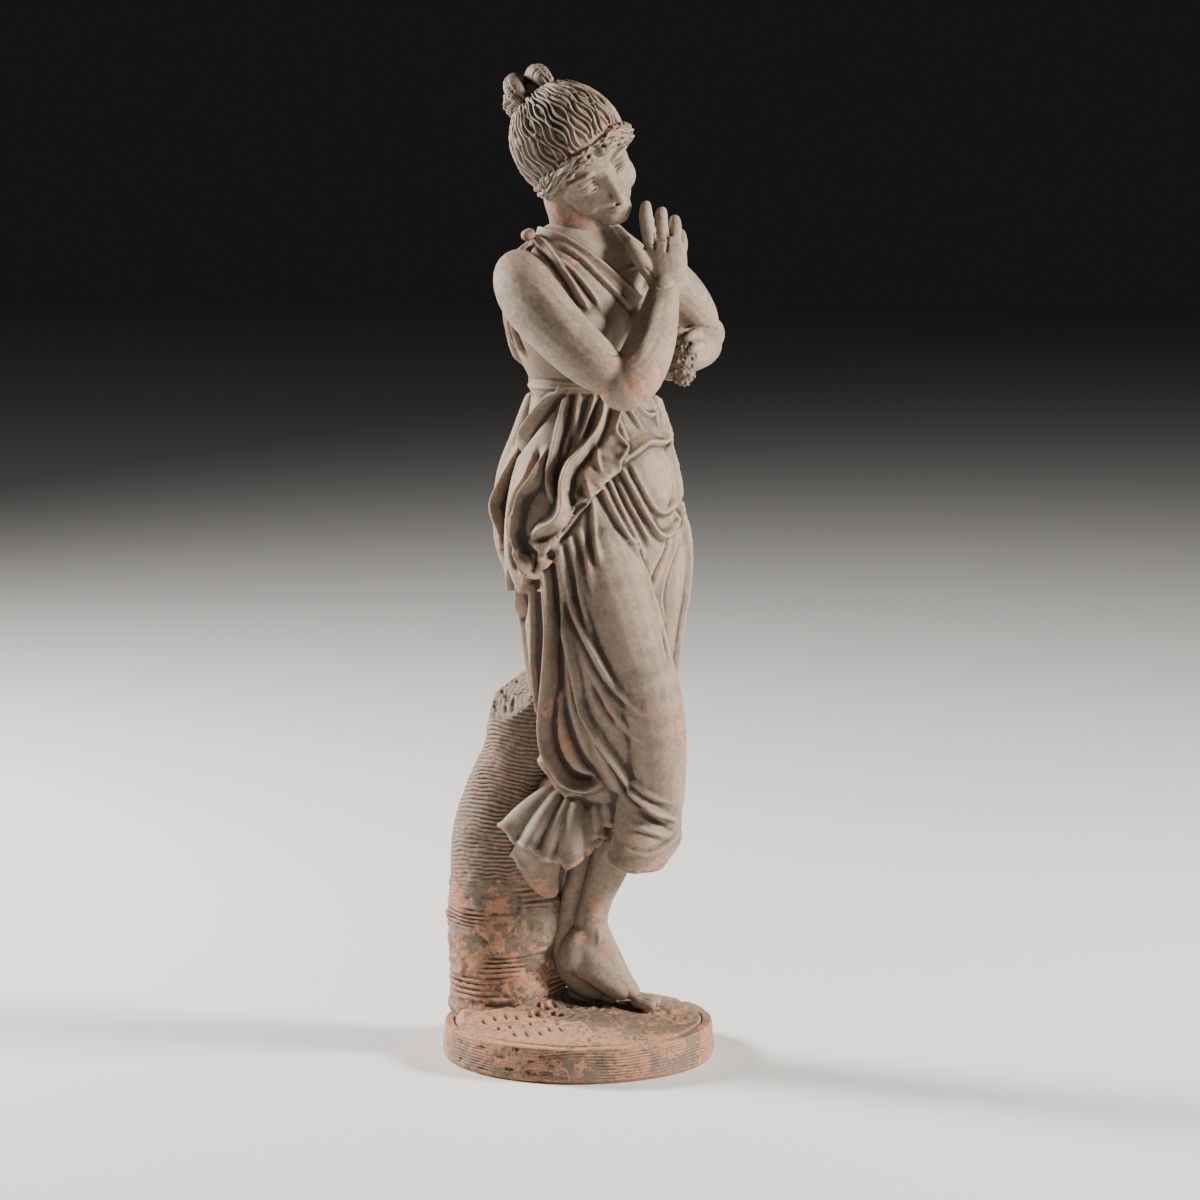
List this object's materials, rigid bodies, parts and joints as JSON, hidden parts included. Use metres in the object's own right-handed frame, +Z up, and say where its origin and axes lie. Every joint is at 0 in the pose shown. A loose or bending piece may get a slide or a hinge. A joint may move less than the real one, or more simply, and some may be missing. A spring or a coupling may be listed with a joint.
{
  "type": "figurine",
  "caption": "terracotta figurine of a draped dancer leaning on a tree stump, one hand raised to the chin, on a low round base",
  "frame": {"origin": "centre of the round base's underside", "axes": "+Z up through the round base's centre, -Y towards the viewer of the pictured side, +X to that viewer's right"},
  "size_m": [0.217, 0.208, 0.7513],
  "materials": {
    "terracotta": "unglazed fired clay, pink-orange under a worn grey-brown patina"
  },
  "bodies": {
    "root": {"dancer_figurine": "terracotta"}
  },
  "joints": []
}
